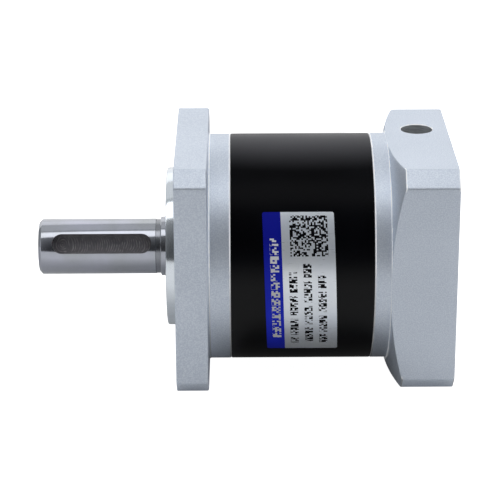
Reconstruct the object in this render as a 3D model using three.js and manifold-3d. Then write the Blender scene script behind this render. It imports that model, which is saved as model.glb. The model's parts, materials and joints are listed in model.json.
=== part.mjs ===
// Two-stage 50:1 planetary gearbox: square output flange with pilot and keyed shaft, a round ring
// gear case, and a square adapter that takes a 57 mm frame motor and clamps its 8 mm shaft.
//
// Millimetres, +Z up. The common axis runs along X and the output shaft points to -X. Stations
// along the axis are counted from the mounting face of the output flange, and the assembly is
// then shifted so that the origin lies on the axis, midway along the overall length.
// Angles round the axis are counted from +Y towards +Z.

import * as THREE from "three";
import { mergeVertices } from "three/addons/utils/BufferGeometryUtils.js";
import Module from "manifold-3d";

const wasm = await Module();
wasm.setup();

// ---------------------------------------------------------------- driving dimensions

const BODY_D = 57;
const FRONT_SQUARE = 58;
const REAR_SQUARE = BODY_D;
const CORNER_CUT = 3.7;
const EDGE_BREAK = 0.4;
const PILOT_CHAMFER = 0.5;
const BOLT_SQUARE = 47.14;
const FLANGE_HOLE_D = 5.2;
const TAPPED_HOLE = { d: 4.2, depth: 11.5 };
const PILOT_D = 40;
const REGISTER = { d: 38.2, depth: 2 };

// Stations along the axis.
const SHAFT_TIP = -35;
const SHAFT_STEP = -4.2;
const PILOT_FACE = -2.5;
const PLATE_BACK = 8;
const CASE_FRONT = 13.5;
const CASE_BACK = 48.5;
const CONE_START = 52.4;
const CONE_END = 55.7;
const REAR_FACE = 68.5;
const FRONT_SPIGOT_END = 19.8;
const REAR_SPIGOT_START = 44.8;

const SHAFT_D = 14;
const SEAL_JOURNAL_D = 15;
const TIP_CHAMFER = 0.8;
const KEYWAY = { width: 5, length: 25, depth: 3, fromTip: 3.5, angle: 154 };
const CENTRE_HOLE = { d: 4.2, depth: 12, countersink: 0.6 };
const RELIEF = { width: 1.2, depth: 0.12, lead: 0.1 };
const STEP_CHAMFER = 0.15;
const SHAFT_SHOULDER = { front: 17.5, r: 12 };

// Clearances between pieces that fit into one another.
const SPIGOT_R = 26;
const SPIGOT_GAP = 0.05;
const SEAT_GAP = 0.04;
const PRESS_GAP = 0.03;
const RUNNING_GAP = 0.06;
const BALL_GAP = 0.12;
const END_GAP = 0.05;
const GROOVE_GAP = 0.1;
const HEAD_GAP = 0.2;

// How far one solid runs into another that it joins, and how far a cutting tool runs past a face.
const OVERLAP = 0.5;
const PAST = 1;

// bore and outside are diameters; start is the station of the front face.
const FRONT_BEARING = { bore: 15, outside: 28, width: 7, ball: 4, balls: 8, start: 3 };
const REAR_BEARING = { bore: 20, outside: 32, width: 7, ball: 3.5, balls: 9, start: 10.4 };
const INPUT_BEARING = { bore: 12, outside: 24, width: 6, ball: 3.5, balls: 8, start: 46 };
const RACE_LAND = 0.3;
const RIBBON = { thickness: 0.22, width: 0.6 };
const BEARING_LIP_R = 10.6;
const BEARING_BACK_ROOM = 2.6;

// Snap rings, with the angle of their gap.
const SHAFT_RING = { inner: 7.15, outer: 9.4, front: 1.9, back: 2.8, gap: 30 };
const HOUSING_RING = { inner: 13.6, outer: 16.8, front: 17.6, back: 18.7, gap: 26 };
const RING_GAP_AT = 270;

// The seal is a rubber cup with a sealing lip that leans inwards and a dust lip that leans out.
const SEAL_SEAT = { r: 13, back: 1.7, shoulderR: 12 };
const SEAL = { outerR: 12.95, back: 1.6, wall: 0.85, web: 0.9, neckR: 9.4 };
const SEAL_LIP = { station: 0.1, heel: 0.6, rootR: 8.6, tipR: 7.9 };
const DUST_LIP = { station: -2.1, valley: -1.3, valleyR: 8, frontR: 7.8 };
const THRUST_PLATE = { inner: 5.6, outer: 25.8, front: 44.05, back: 44.65 };

// The suns are shifted outwards and the planets and rings inwards, so that the small suns aren't
// undercut. thin is how much narrower each tooth is at its pitch circle, which gives the backlash.
const OUTPUT_STAGE = {
  module: 1, sun: 12, planet: 18, ring: 48, shift: 0.3, addendum: 1, thin: 0.05,
  front: 24.5, back: 32.5, ringFront: 20.2, ringBack: 35.2, boreR: 4.2, flankSteps: 2,
  pinR: 3, pinFront: 20.9, pinBack: 35.2,
};
const INPUT_STAGE = {
  module: 0.6, sun: 9, planet: 36, ring: 81, shift: 0.4, addendum: 0.9, thin: 0.04,
  front: 38.6, back: 43.6, ringFront: 37.2, ringBack: 43.9, boreR: 3.5, flankSteps: 1,
  pinR: 2.5, pinFront: 35.9, pinBack: 43.9,
};
const PLANETS = 3;
const FIRST_PLANET_ANGLE = 90;
const RING_SLACK = 0.1;
const PRESSURE_ANGLE = THREE.MathUtils.degToRad(20);
const DEDENDUM = 1.25;

const CARRIER_R = 22;
const OUTPUT_DISC = { front: 20.6, back: 24.2 };
const OUTPUT_END_DISC = { front: 32.8, back: 35.2, boreR: 8.3 };
const INPUT_DISC = { front: 35.9, back: 38.3, boreR: 5 };
const WEB = { innerR: 14.5, halfAngle: 17, steps: 4 };

const HUB_COLLAR = { r: 7, back: 54 };
const HUB_NECK = 0.3;
const CLAMP = { front: 56.2, back: 65.2, outerR: 14, gap: 0.08, slit: 1.4, screwOffset: 7.5 };
const SLEEVE = { outerR: 5.75, boreR: 4, bottom: 47, end: 65.5, slot: 1, slotFront: 55.5, lead: 0.4 };
const ACCESS_HOLE = { d: 8, bottom: 14 };
const CLAMP_SCREW = {
  d: 2.9, headR: 2.75, headHeight: 3, seat: 5, tip: -7.5, socket: 2.5, socketDepth: 1.6, holeBottom: -9,
};
const CLAMP_ROOM_R = 17.5;

const LABEL = {
  width: 17.3, height: 39.4, thickness: 0.15, gap: 0.03, start: 21.2, angle: 182.7, skew: 1.3, steps: 16,
};

// Facets round a circle.
const LARGE = 48;
const MEDIUM = 24;
const SMALL = 16;
const HEX = 6;
const MERGE_MM = 1e-4;

// ---------------------------------------------------------------- solids

// A closed three.js geometry as a manifold-3d solid.
function toSolid(geometry) {
  const bare = new THREE.BufferGeometry();
  bare.setAttribute("position", geometry.getAttribute("position"));
  bare.setIndex(geometry.getIndex());
  const merged = mergeVertices(bare, MERGE_MM);
  const corners = merged.getIndex().array;
  const kept = [];
  for (let i = 0; i < corners.length; i += 3) {
    const [a, b, c] = corners.slice(i, i + 3);
    if (a !== b && b !== c && c !== a) {
      kept.push(a, b, c);
    }
  }
  const vertProperties = merged.getAttribute("position").array;
  const triVerts = new Uint32Array(kept);
  return new wasm.Manifold(new wasm.Mesh({ numProp: 3, vertProperties, triVerts }));
}

function toGeometry(solid) {
  const mesh = solid.getMesh();
  const geometry = new THREE.BufferGeometry();
  geometry.setAttribute("position", new THREE.BufferAttribute(mesh.vertProperties, 3));
  geometry.setIndex(new THREE.BufferAttribute(mesh.triVerts, 1));
  geometry.computeVertexNormals();
  return geometry;
}

function signedArea(points) {
  const next = (i) => points[(i + 1) % points.length];
  return points.reduce((sum, p, i) => sum + (p.x * next(i).y - next(i).x * p.y) / 2, 0);
}

// Turns a closed section, a list of [station, radius], about the axis. A section that touches the
// axis starts and ends there.
function turn(section, facets = LARGE) {
  const points = section.map(([station, radius]) => new THREE.Vector2(radius, station));
  if (signedArea(points) < 0) {
    points.reverse();
  }
  const onAxis = points.filter((p) => p.x === 0).length > 0;
  if (onAxis) {
    while (points[0].x !== 0 || points.at(-1).x !== 0) {
      points.push(points.shift());
    }
  } else {
    points.push(points[0].clone());
  }
  const lathe = new THREE.LatheGeometry(points, facets);
  return toSolid(lathe.rotateZ(-Math.PI / 2));
}

function rod(radius, from, to, facets = SMALL) {
  return turn([[from, 0], [from, radius], [to, radius], [to, 0]], facets);
}

function tube(inner, outer, from, to, facets = LARGE) {
  return turn([[from, inner], [from, outer], [to, outer], [to, inner]], facets);
}

// Extrudes an outline in the Y-Z plane from one station to another, with an optional edge break.
function prism(outline, from, to, { holes = [], edge = 0 } = {}) {
  const shape = new THREE.Shape(outline);
  shape.holes = holes.map((points) => new THREE.Path(points));
  const geometry = new THREE.ExtrudeGeometry(shape, {
    depth: to - from - 2 * edge,
    bevelEnabled: edge > 0,
    bevelThickness: edge,
    bevelSize: edge,
    bevelOffset: -edge,
    bevelSegments: 1,
  });
  const alongX = new THREE.Matrix4().makeBasis(
    new THREE.Vector3(0, 1, 0),
    new THREE.Vector3(0, 0, 1),
    new THREE.Vector3(1, 0, 0),
  );
  return toSolid(geometry.applyMatrix4(alongX).translate(from + edge, 0, 0));
}

function polar(radius, degrees) {
  const angle = THREE.MathUtils.degToRad(degrees);
  return new THREE.Vector2(radius * Math.cos(angle), radius * Math.sin(angle));
}

function arc(radius, from, to, steps) {
  return Array.from({ length: steps + 1 }, (_, i) => polar(radius, from + ((to - from) * i) / steps));
}

function circle(radius, facets) {
  return arc(radius, 0, 360, facets).slice(0, -1);
}

function sector(inner, outer, from, to, steps) {
  return [...arc(outer, from, to, steps), ...arc(inner, to, from, steps)];
}

// A square with its corners cut off at 45 degrees.
function cutSquare(side) {
  const far = side / 2;
  const near = far - CORNER_CUT;
  const corners = [[far, near], [near, far], [-near, far], [-far, near]];
  return [...corners, ...corners.map(([y, z]) => [-y, -z])].map(([y, z]) => new THREE.Vector2(y, z));
}

// The same solid moved to offset in the Y-Z plane.
function copyAt(make, offset) {
  return make().translate([0, offset.x, offset.y]);
}

function cutAll(solid, tools) {
  return tools.reduce((rest, tool) => rest.subtract(tool), solid);
}

function joinAll(solids) {
  return solids.reduce((whole, solid) => whole.add(solid));
}

function boltPlaces() {
  const half = BOLT_SQUARE / 2;
  return [[1, 1], [-1, 1], [-1, -1], [1, -1]].map(([y, z]) => new THREE.Vector2(y * half, z * half));
}

// ---------------------------------------------------------------- gears

const involute = (angle) => Math.tan(angle) - angle;

// The outline of a toothed wheel whose first tooth points along phase (degrees). inner and outer
// are its root and tip radii; used as a hole, the same outline gives an internal gear.
function gearOutline({ teeth, module, shift, inner, outer, thin, steps, phase }) {
  const pitchR = (module * teeth) / 2;
  const baseR = pitchR * Math.cos(PRESSURE_ANGLE);
  const halfAtPitch = (Math.PI / 2 + 2 * shift * Math.tan(PRESSURE_ANGLE)) / teeth - thin / (2 * pitchR);
  const halfAngle = (radius) => {
    const pressure = Math.acos(Math.min(1, baseR / radius));
    return halfAtPitch + involute(PRESSURE_ANGLE) - involute(pressure);
  };
  const radii = Array.from({ length: steps + 1 }, (_, i) => inner + ((outer - inner) * i) / steps);
  const flank = radii.map((radius) => [radius, THREE.MathUtils.radToDeg(halfAngle(radius))]);
  const outline = [];
  for (let tooth = 0; tooth < teeth; tooth += 1) {
    const middle = phase + (360 * tooth) / teeth;
    outline.push(...flank.map(([radius, half]) => polar(radius, middle - half)));
    outline.push(...flank.toReversed().map(([radius, half]) => polar(radius, middle + half)));
  }
  return outline;
}

const centreDistance = (stage) => (stage.module * (stage.sun + stage.planet)) / 2;
const planetAngle = (index) => FIRST_PLANET_ANGLE + (360 * index) / PLANETS;
const planetPlace = (stage, index) => polar(centreDistance(stage), planetAngle(index));

// The sun's phase that puts it in mesh with every planet, for a ring with a tooth space at angle 0.
function sunOutline(stage, steps) {
  const phase = (FIRST_PLANET_ANGLE * (stage.sun + stage.ring) + 180 * (stage.planet + 1)) / stage.sun;
  return gearOutline({
    ...stage,
    teeth: stage.sun,
    inner: stage.module * (stage.sun / 2 - DEDENDUM + stage.shift),
    outer: stage.module * (stage.sun / 2 + stage.addendum + stage.shift),
    steps,
    phase,
  });
}

function planetOutline(stage, index) {
  const angle = planetAngle(index);
  return gearOutline({
    ...stage,
    teeth: stage.planet,
    shift: -stage.shift,
    inner: stage.module * (stage.planet / 2 - DEDENDUM - stage.shift),
    outer: stage.module * (stage.planet / 2 + 1 - stage.shift),
    steps: stage.flankSteps,
    phase: angle - (angle * stage.ring) / stage.planet,
  });
}

function ringOutline(stage) {
  return gearOutline({
    ...stage,
    teeth: stage.ring,
    shift: -stage.shift,
    inner: stage.module * (stage.ring / 2 - 1 - stage.shift),
    outer: stage.module * (stage.ring / 2 + DEDENDUM - stage.shift),
    thin: -stage.thin - RING_SLACK,
    steps: 1,
    phase: 0,
  });
}

function planetGear(stage, index) {
  const holes = [circle(stage.boreR, SMALL)];
  return prism(planetOutline(stage, index), stage.front, stage.back, { holes });
}

function planetBush(stage) {
  const outerR = stage.boreR - PRESS_GAP - RUNNING_GAP;
  return tube(stage.pinR + RUNNING_GAP, outerR, stage.front, stage.back, SMALL);
}

// ---------------------------------------------------------------- bearings

function bearingSizes({ bore, outside, width, ball, start }) {
  const pitchR = (bore + outside) / 4;
  return {
    pitchR,
    middle: start + width / 2,
    end: start + width,
    innerLand: pitchR - RACE_LAND * ball,
    outerLand: pitchR + RACE_LAND * ball,
    grooveR: ball / 2 + BALL_GAP,
  };
}

// The groove's section from one edge of the land to the other, on the inner (-1) or outer (1) side.
function grooveSection(sizes, side) {
  const { pitchR, middle, grooveR } = sizes;
  const reach = Math.acos(Math.abs(sizes.outerLand - pitchR) / grooveR);
  const steps = 3;
  return Array.from({ length: steps + 1 }, (_, i) => {
    const angle = reach * ((2 * i) / steps - 1);
    return [middle + grooveR * Math.sin(angle), pitchR + side * grooveR * Math.cos(angle)];
  });
}

function innerRace(bearing) {
  const sizes = bearingSizes(bearing);
  const boreR = bearing.bore / 2 + PRESS_GAP;
  const groove = grooveSection(sizes, -1);
  const { end, innerLand } = sizes;
  const { start } = bearing;
  return turn([[start, boreR], [start, innerLand], ...groove, [end, innerLand], [end, boreR]], MEDIUM);
}

function outerRace(bearing) {
  const sizes = bearingSizes(bearing);
  const outerR = bearing.outside / 2 - SEAT_GAP;
  const groove = grooveSection(sizes, 1);
  const { end, outerLand } = sizes;
  const { start } = bearing;
  return turn([[start, outerR], [start, outerLand], ...groove, [end, outerLand], [end, outerR]], MEDIUM);
}

// The balls and the ribbon that spaces them, as one solid.
function ballCage(bearing) {
  const { pitchR, middle } = bearingSizes(bearing);
  const half = (RIBBON.thickness * bearing.ball) / 2;
  const reach = (RIBBON.width * bearing.width) / 2;
  const ribbon = tube(pitchR - half, pitchR + half, middle - reach, middle + reach, 2 * bearing.balls);
  const ballR = bearing.ball / 2 - BALL_GAP;
  const ball = () => toSolid(new THREE.OctahedronGeometry(ballR, 1).translate(middle, 0, 0));
  const places = circle(pitchR, bearing.balls);
  return joinAll([ribbon, ...places.map((place) => copyAt(ball, place))]);
}

// A snap ring is an open ring with its gap at the bottom.
function snapRing({ inner, outer, front, back, gap }) {
  const from = RING_GAP_AT + gap / 2;
  const to = RING_GAP_AT + 360 - gap / 2;
  return prism(sector(inner, outer, from, to, MEDIUM), front, back);
}

// ---------------------------------------------------------------- case

// The square output flange with its pilot, its round boss, and the seats of the seal and bearings.
function frontHousing() {
  const boss = BODY_D / 2;
  const pilot = PILOT_D / 2;
  const frontSeat = FRONT_BEARING.outside / 2;
  const rearSeat = REAR_BEARING.outside / 2;
  const grooveR = HOUSING_RING.outer + GROOVE_GAP;
  const midPlate = PLATE_BACK / 2;
  const turned = turn([
    [PILOT_FACE, SEAL_SEAT.r],
    [PILOT_FACE, pilot - PILOT_CHAMFER],
    [PILOT_FACE + PILOT_CHAMFER, pilot],
    [midPlate, pilot],
    [midPlate, boss],
    [CASE_FRONT - EDGE_BREAK, boss],
    [CASE_FRONT, boss - EDGE_BREAK],
    [CASE_FRONT, SPIGOT_R],
    [FRONT_SPIGOT_END, SPIGOT_R],
    [FRONT_SPIGOT_END, rearSeat],
    [HOUSING_RING.back + GROOVE_GAP, rearSeat],
    [HOUSING_RING.back + GROOVE_GAP, grooveR],
    [HOUSING_RING.front - GROOVE_GAP, grooveR],
    [HOUSING_RING.front - GROOVE_GAP, rearSeat],
    [REAR_BEARING.start - END_GAP, rearSeat],
    [REAR_BEARING.start - END_GAP, frontSeat],
    [FRONT_BEARING.start - END_GAP, frontSeat],
    [FRONT_BEARING.start - END_GAP, SEAL_SEAT.shoulderR],
    [SEAL_SEAT.back, SEAL_SEAT.shoulderR],
    [SEAL_SEAT.back, SEAL_SEAT.r],
  ]);
  const plate = prism(cutSquare(FRONT_SQUARE), 0, PLATE_BACK, { edge: EDGE_BREAK });
  const plateRing = plate.subtract(rod(pilot - PAST, -PAST, PLATE_BACK + PAST, LARGE));
  const bolt = () => rod(FLANGE_HOLE_D / 2, -PAST, PLATE_BACK + PAST);
  const holes = boltPlaces().map((place) => copyAt(bolt, place));
  return cutAll(plateRing.add(turned), holes);
}

// The case is the ring gear of both stages: two rows of internal teeth inside one steel tube.
function ringGearCase() {
  const bore = SPIGOT_R + SPIGOT_GAP;
  const sleeve = tube(bore, BODY_D / 2, CASE_FRONT + SPIGOT_GAP, CASE_BACK - SPIGOT_GAP);
  const teeth = [OUTPUT_STAGE, INPUT_STAGE].map((stage) => {
    const holes = [ringOutline(stage)];
    return prism(circle(bore + OVERLAP, LARGE), stage.ringFront, stage.ringBack, { holes });
  });
  return joinAll([sleeve, ...teeth]);
}

// The round boss runs into a cone, which meets the sides of the square block.
function motorAdapter() {
  const boss = BODY_D / 2;
  const seat = INPUT_BEARING.outside / 2;
  const seatFront = INPUT_BEARING.start - END_GAP;
  const room = INPUT_BEARING.start + INPUT_BEARING.width + BEARING_BACK_ROOM;
  const cornerR = (REAR_SQUARE - CORNER_CUT) / Math.SQRT2;
  const turned = turn([
    [REAR_SPIGOT_START, BEARING_LIP_R],
    [REAR_SPIGOT_START, SPIGOT_R],
    [CASE_BACK, SPIGOT_R],
    [CASE_BACK, boss - EDGE_BREAK],
    [CASE_BACK + EDGE_BREAK, boss],
    [CONE_START, boss],
    [CONE_END, cornerR],
    [CONE_END, BODY_D],
    [REAR_FACE, BODY_D],
    [REAR_FACE, REGISTER.d / 2],
    [REAR_FACE - REGISTER.depth, REGISTER.d / 2],
    [REAR_FACE - REGISTER.depth, CLAMP_ROOM_R],
    [room, CLAMP_ROOM_R],
    [room, seat],
    [seatFront, seat],
    [seatFront, BEARING_LIP_R],
  ]);
  const square = cutSquare(REAR_SQUARE);
  const envelope = prism(square, REAR_SPIGOT_START - PAST, REAR_FACE, { edge: EDGE_BREAK });
  const tapped = () => rod(TAPPED_HOLE.d / 2, REAR_FACE - TAPPED_HOLE.depth, REAR_FACE + PAST);
  const holes = boltPlaces().map((place) => copyAt(tapped, place));
  const access = screwBarrel(ACCESS_HOLE.d / 2, ACCESS_HOLE.bottom, REAR_SQUARE / 2 + PAST, MEDIUM);
  return cutAll(turned.intersect(envelope), [...holes, access]);
}

function oilSeal() {
  const front = PILOT_FACE + 2 * END_GAP;
  const lipR = SEAL_JOURNAL_D / 2 + RUNNING_GAP;
  return turn([
    [front, SEAL.outerR],
    [SEAL.back, SEAL.outerR],
    [SEAL.back, SEAL.outerR - SEAL.wall],
    [front + SEAL.web, SEAL.outerR - SEAL.wall],
    [front + SEAL.web, SEAL.neckR],
    [SEAL_LIP.heel, SEAL_LIP.rootR],
    [SEAL_LIP.heel, SEAL_LIP.tipR],
    [SEAL_LIP.station, lipR],
    [DUST_LIP.valley, DUST_LIP.valleyR],
    [DUST_LIP.station, lipR],
    [front, DUST_LIP.frontR],
  ], MEDIUM);
}

function thrustPlate() {
  const { inner, outer, front, back } = THRUST_PLATE;
  return tube(inner, outer, front, back, MEDIUM);
}

// A thin sheet bent round the case. It was put on by hand, so it runs a little askew.
function label() {
  const inner = BODY_D / 2 + LABEL.gap;
  const span = THREE.MathUtils.radToDeg(LABEL.height / inner);
  const from = LABEL.angle - span / 2;
  const outline = sector(inner, inner + LABEL.thickness, from, from + span, LABEL.steps);
  const sheet = prism(outline, LABEL.start, LABEL.start + LABEL.width);
  return sheet.warp((vertex) => {
    const angle = THREE.MathUtils.radToDeg(Math.atan2(vertex[2], vertex[1]));
    const turned = (angle + 360) % 360;
    vertex[0] += (LABEL.skew * (turned - from)) / span;
  });
}

// ---------------------------------------------------------------- output shaft and carriers

function keySlot() {
  const end = KEYWAY.width / 2;
  const from = SHAFT_TIP + KEYWAY.fromTip;
  const slot = new THREE.Shape();
  slot.absarc(from + KEYWAY.length - end, 0, end, -Math.PI / 2, Math.PI / 2);
  slot.absarc(from + end, 0, end, Math.PI / 2, (3 * Math.PI) / 2);
  const options = { depth: SHAFT_D, bevelEnabled: false, curveSegments: MEDIUM / 2 };
  const geometry = new THREE.ExtrudeGeometry(slot, options);
  geometry.translate(0, 0, SHAFT_D / 2 - KEYWAY.depth);
  return toSolid(geometry.rotateX(THREE.MathUtils.degToRad(KEYWAY.angle - 90)));
}

function planetPinHoles(stage) {
  const hole = () => rod(stage.pinR + PRESS_GAP, OUTPUT_DISC.front - PAST, INPUT_DISC.back + PAST);
  return Array.from({ length: PLANETS }, (_, i) => copyAt(hole, planetPlace(stage, i)));
}

// The three webs of the planet cage, one between each pair of planets.
function cageWebs() {
  return Array.from({ length: PLANETS }, (_, i) => {
    const middle = planetAngle(i) + 180 / PLANETS;
    const outerR = CARRIER_R - OVERLAP;
    const outline = sector(WEB.innerR, outerR, middle - WEB.halfAngle, middle + WEB.halfAngle, WEB.steps);
    return prism(outline, OUTPUT_DISC.back - OVERLAP, OUTPUT_END_DISC.front + OVERLAP);
  });
}

// The shaft and its planet cage are one piece: two discs joined by the webs.
function outputShaft() {
  const shaftR = SHAFT_D / 2;
  const sealR = SEAL_JOURNAL_D / 2;
  const tip = SHAFT_TIP;
  const hole = CENTRE_HOLE.d / 2;
  const ringGrooveR = SHAFT_RING.inner - END_GAP;
  const rearSeat = REAR_BEARING.bore / 2;
  const turned = turn([
    [tip + CENTRE_HOLE.depth, 0],
    [tip + CENTRE_HOLE.depth, hole],
    [tip + CENTRE_HOLE.countersink, hole],
    [tip, hole + CENTRE_HOLE.countersink],
    [tip, shaftR - TIP_CHAMFER],
    [tip + TIP_CHAMFER, shaftR],
    [SHAFT_STEP - RELIEF.width, shaftR],
    [SHAFT_STEP - RELIEF.width + RELIEF.lead, shaftR - RELIEF.depth],
    [SHAFT_STEP, shaftR - RELIEF.depth],
    [SHAFT_STEP, sealR - STEP_CHAMFER],
    [SHAFT_STEP + STEP_CHAMFER, sealR],
    [SHAFT_RING.front - GROOVE_GAP, sealR],
    [SHAFT_RING.front - GROOVE_GAP, ringGrooveR],
    [SHAFT_RING.back + GROOVE_GAP, ringGrooveR],
    [SHAFT_RING.back + GROOVE_GAP, sealR],
    [REAR_BEARING.start - 2 * GROOVE_GAP, sealR],
    [REAR_BEARING.start - 2 * GROOVE_GAP, rearSeat],
    [SHAFT_SHOULDER.front, rearSeat],
    [SHAFT_SHOULDER.front, SHAFT_SHOULDER.r],
    [OUTPUT_DISC.front, SHAFT_SHOULDER.r],
    [OUTPUT_DISC.front, CARRIER_R],
    [OUTPUT_DISC.back, CARRIER_R],
    [OUTPUT_DISC.back, 0],
  ], MEDIUM);
  const { boreR, front, back } = OUTPUT_END_DISC;
  const endDisc = tube(boreR, CARRIER_R, front, back, MEDIUM);
  const whole = joinAll([turned, endDisc, ...cageWebs()]);
  return cutAll(whole, [keySlot(), ...planetPinHoles(OUTPUT_STAGE)]);
}

function firstStageCarrier() {
  const disc = tube(INPUT_DISC.boreR + PRESS_GAP, CARRIER_R, INPUT_DISC.front, INPUT_DISC.back, MEDIUM);
  return cutAll(disc, planetPinHoles(INPUT_STAGE));
}

// The output sun, with the round end that is pressed into the first-stage carrier.
function outputSun() {
  const toothEnd = INPUT_DISC.front - OVERLAP;
  const teeth = prism(sunOutline(OUTPUT_STAGE, 3), OUTPUT_STAGE.front, toothEnd);
  return teeth.add(rod(INPUT_DISC.boreR, toothEnd - OVERLAP, INPUT_DISC.back, MEDIUM));
}

// ---------------------------------------------------------------- input

// The input sun, its bearing journal and the slotted sleeve that grips the motor shaft.
function inputHub() {
  const journal = INPUT_BEARING.bore / 2;
  const neck = INPUT_BEARING.start - HUB_NECK;
  const bearingBack = INPUT_BEARING.start + INPUT_BEARING.width + END_GAP;
  const turned = turn([
    [neck, 0],
    [neck, journal],
    [bearingBack, journal],
    [bearingBack, HUB_COLLAR.r],
    [HUB_COLLAR.back, HUB_COLLAR.r],
    [HUB_COLLAR.back, SLEEVE.outerR],
    [SLEEVE.end, SLEEVE.outerR],
    [SLEEVE.end, SLEEVE.boreR + SLEEVE.lead],
    [SLEEVE.end - SLEEVE.lead, SLEEVE.boreR],
    [SLEEVE.bottom, SLEEVE.boreR],
    [SLEEVE.bottom, 0],
  ], MEDIUM);
  const teeth = prism(sunOutline(INPUT_STAGE, 2), INPUT_STAGE.front - GROOVE_GAP, INPUT_BEARING.start);
  const slotEnd = SLEEVE.end + PAST;
  const slots = [0, Math.PI / 2].map((turnAngle) => {
    const box = new THREE.BoxGeometry(slotEnd - SLEEVE.slotFront, SLEEVE.slot, 4 * SLEEVE.outerR);
    return toSolid(box.rotateX(turnAngle).translate((slotEnd + SLEEVE.slotFront) / 2, 0, 0));
  });
  return cutAll(turned.add(teeth), slots);
}

// A cylinder on the clamp screw's axis, which is parallel to Z.
function screwBarrel(radius, low, high, facets = SMALL) {
  const barrel = new THREE.CylinderGeometry(radius, radius, high - low, facets).rotateX(Math.PI / 2);
  return toSolid(barrel.translate((CLAMP.front + CLAMP.back) / 2, CLAMP.screwOffset, (low + high) / 2));
}

// The ring that squeezes the sleeve: split on one side, with the screw across the split.
function clampRing() {
  const { front, back, outerR } = CLAMP;
  const ring = tube(SLEEVE.outerR + CLAMP.gap, outerR, front, back, MEDIUM);
  const slit = new THREE.BoxGeometry(back - front + 2 * PAST, outerR + 2 * PAST, CLAMP.slit);
  slit.translate((front + back) / 2, outerR / 2 + PAST, 0);
  const screwHole = screwBarrel(CLAMP_SCREW.d / 2 + PRESS_GAP, CLAMP_SCREW.holeBottom, outerR);
  const headHole = screwBarrel(CLAMP_SCREW.headR + HEAD_GAP, CLAMP_SCREW.seat, outerR + PAST, MEDIUM);
  return cutAll(ring, [toSolid(slit), screwHole, headHole]);
}

// A socket-head screw. The socket is a hexagon, given by its width across the flats.
function clampScrew() {
  const { d, headR, headHeight, seat, tip, socket, socketDepth } = CLAMP_SCREW;
  const low = seat + RUNNING_GAP;
  const high = low + headHeight;
  const shank = screwBarrel(d / 2, tip, low + OVERLAP);
  const head = screwBarrel(headR, low, high, MEDIUM);
  const hex = screwBarrel(socket / Math.sqrt(3), high - socketDepth, high + PAST, HEX);
  return shank.add(head).subtract(hex);
}

// ---------------------------------------------------------------- assembly

function metal(color, roughness, metalness = 1) {
  return new THREE.MeshStandardMaterial({ color, roughness, metalness });
}

const castAluminium = metal("#aeb6c2", 0.55, 0.7);
const groundSteel = metal("#9a9a9c", 0.25);
const gearSteel = metal("#77787c", 0.4);
const blackSteel = metal("#101014", 0.35, 0.4);
const springSteel = metal("#3b3c40", 0.45);
const bronze = metal("#b08a4a", 0.45);
const blackRubber = metal("#161616", 0.8, 0);
const foil = metal("#b9c0cc", 0.4, 0.3);

const root = new THREE.Group();
const assembly = new THREE.Group();
assembly.position.x = -(SHAFT_TIP + REAR_FACE) / 2;
root.add(assembly);

function place(name, solid, material, offset = new THREE.Vector2()) {
  const mesh = new THREE.Mesh(toGeometry(solid), material);
  mesh.name = name;
  mesh.position.set(0, offset.x, offset.y);
  assembly.add(mesh);
}

// Each planet with its bush and its pin, on one carrier.
function placePlanets(prefix, stage) {
  for (let i = 0; i < PLANETS; i += 1) {
    const offset = planetPlace(stage, i);
    const pin = rod(stage.pinR, stage.pinFront, stage.pinBack);
    place(`${prefix}_planet_gear_${i + 1}`, planetGear(stage, i), gearSteel, offset);
    place(`${prefix}_planet_bush_${i + 1}`, planetBush(stage), bronze, offset);
    place(`${prefix}_planet_pin_${i + 1}`, pin, groundSteel, offset);
  }
}

function placeBearing(prefix, bearing) {
  place(`${prefix}_inner_race`, innerRace(bearing), groundSteel);
  place(`${prefix}_outer_race`, outerRace(bearing), groundSteel);
  place(`${prefix}_ball_cage`, ballCage(bearing), groundSteel);
}

place("front_housing", frontHousing(), castAluminium);
place("ring_gear_case", ringGearCase(), blackSteel);
place("motor_adapter", motorAdapter(), castAluminium);
place("case_label", label(), foil);
place("output_oil_seal", oilSeal(), blackRubber);
place("planet_thrust_plate", thrustPlate(), springSteel);

place("output_shaft", outputShaft(), groundSteel);
placeBearing("front_output_bearing", FRONT_BEARING);
placeBearing("rear_output_bearing", REAR_BEARING);
place("shaft_snap_ring", snapRing(SHAFT_RING), springSteel);
place("housing_snap_ring", snapRing(HOUSING_RING), springSteel);
placePlanets("output", OUTPUT_STAGE);

place("output_sun_gear", outputSun(), gearSteel);
place("first_stage_carrier", firstStageCarrier(), gearSteel);
placePlanets("first_stage", INPUT_STAGE);

place("input_hub", inputHub(), gearSteel);
placeBearing("input_bearing", INPUT_BEARING);
place("clamp_ring", clampRing(), gearSteel);
place("clamp_screw", clampScrew(), springSteel);

export default root;
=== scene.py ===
"""The looks of the two-stage planetary gearbox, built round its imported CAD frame.

The gearbox is modelled in millimetres in the row frame, and each piece's mesh is scaled to metres as
it is made. Materials and the studio are in metres. The common axis is X, the output shaft points to
-X and +Z is up. Angles round the axis are counted from +Y towards +Z. Sizes come from the frame's
boxes and mounts; the few that a box can't give are named below.
"""

import json
import math

import bmesh
import bpy
from mathutils import Matrix, Vector


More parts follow.
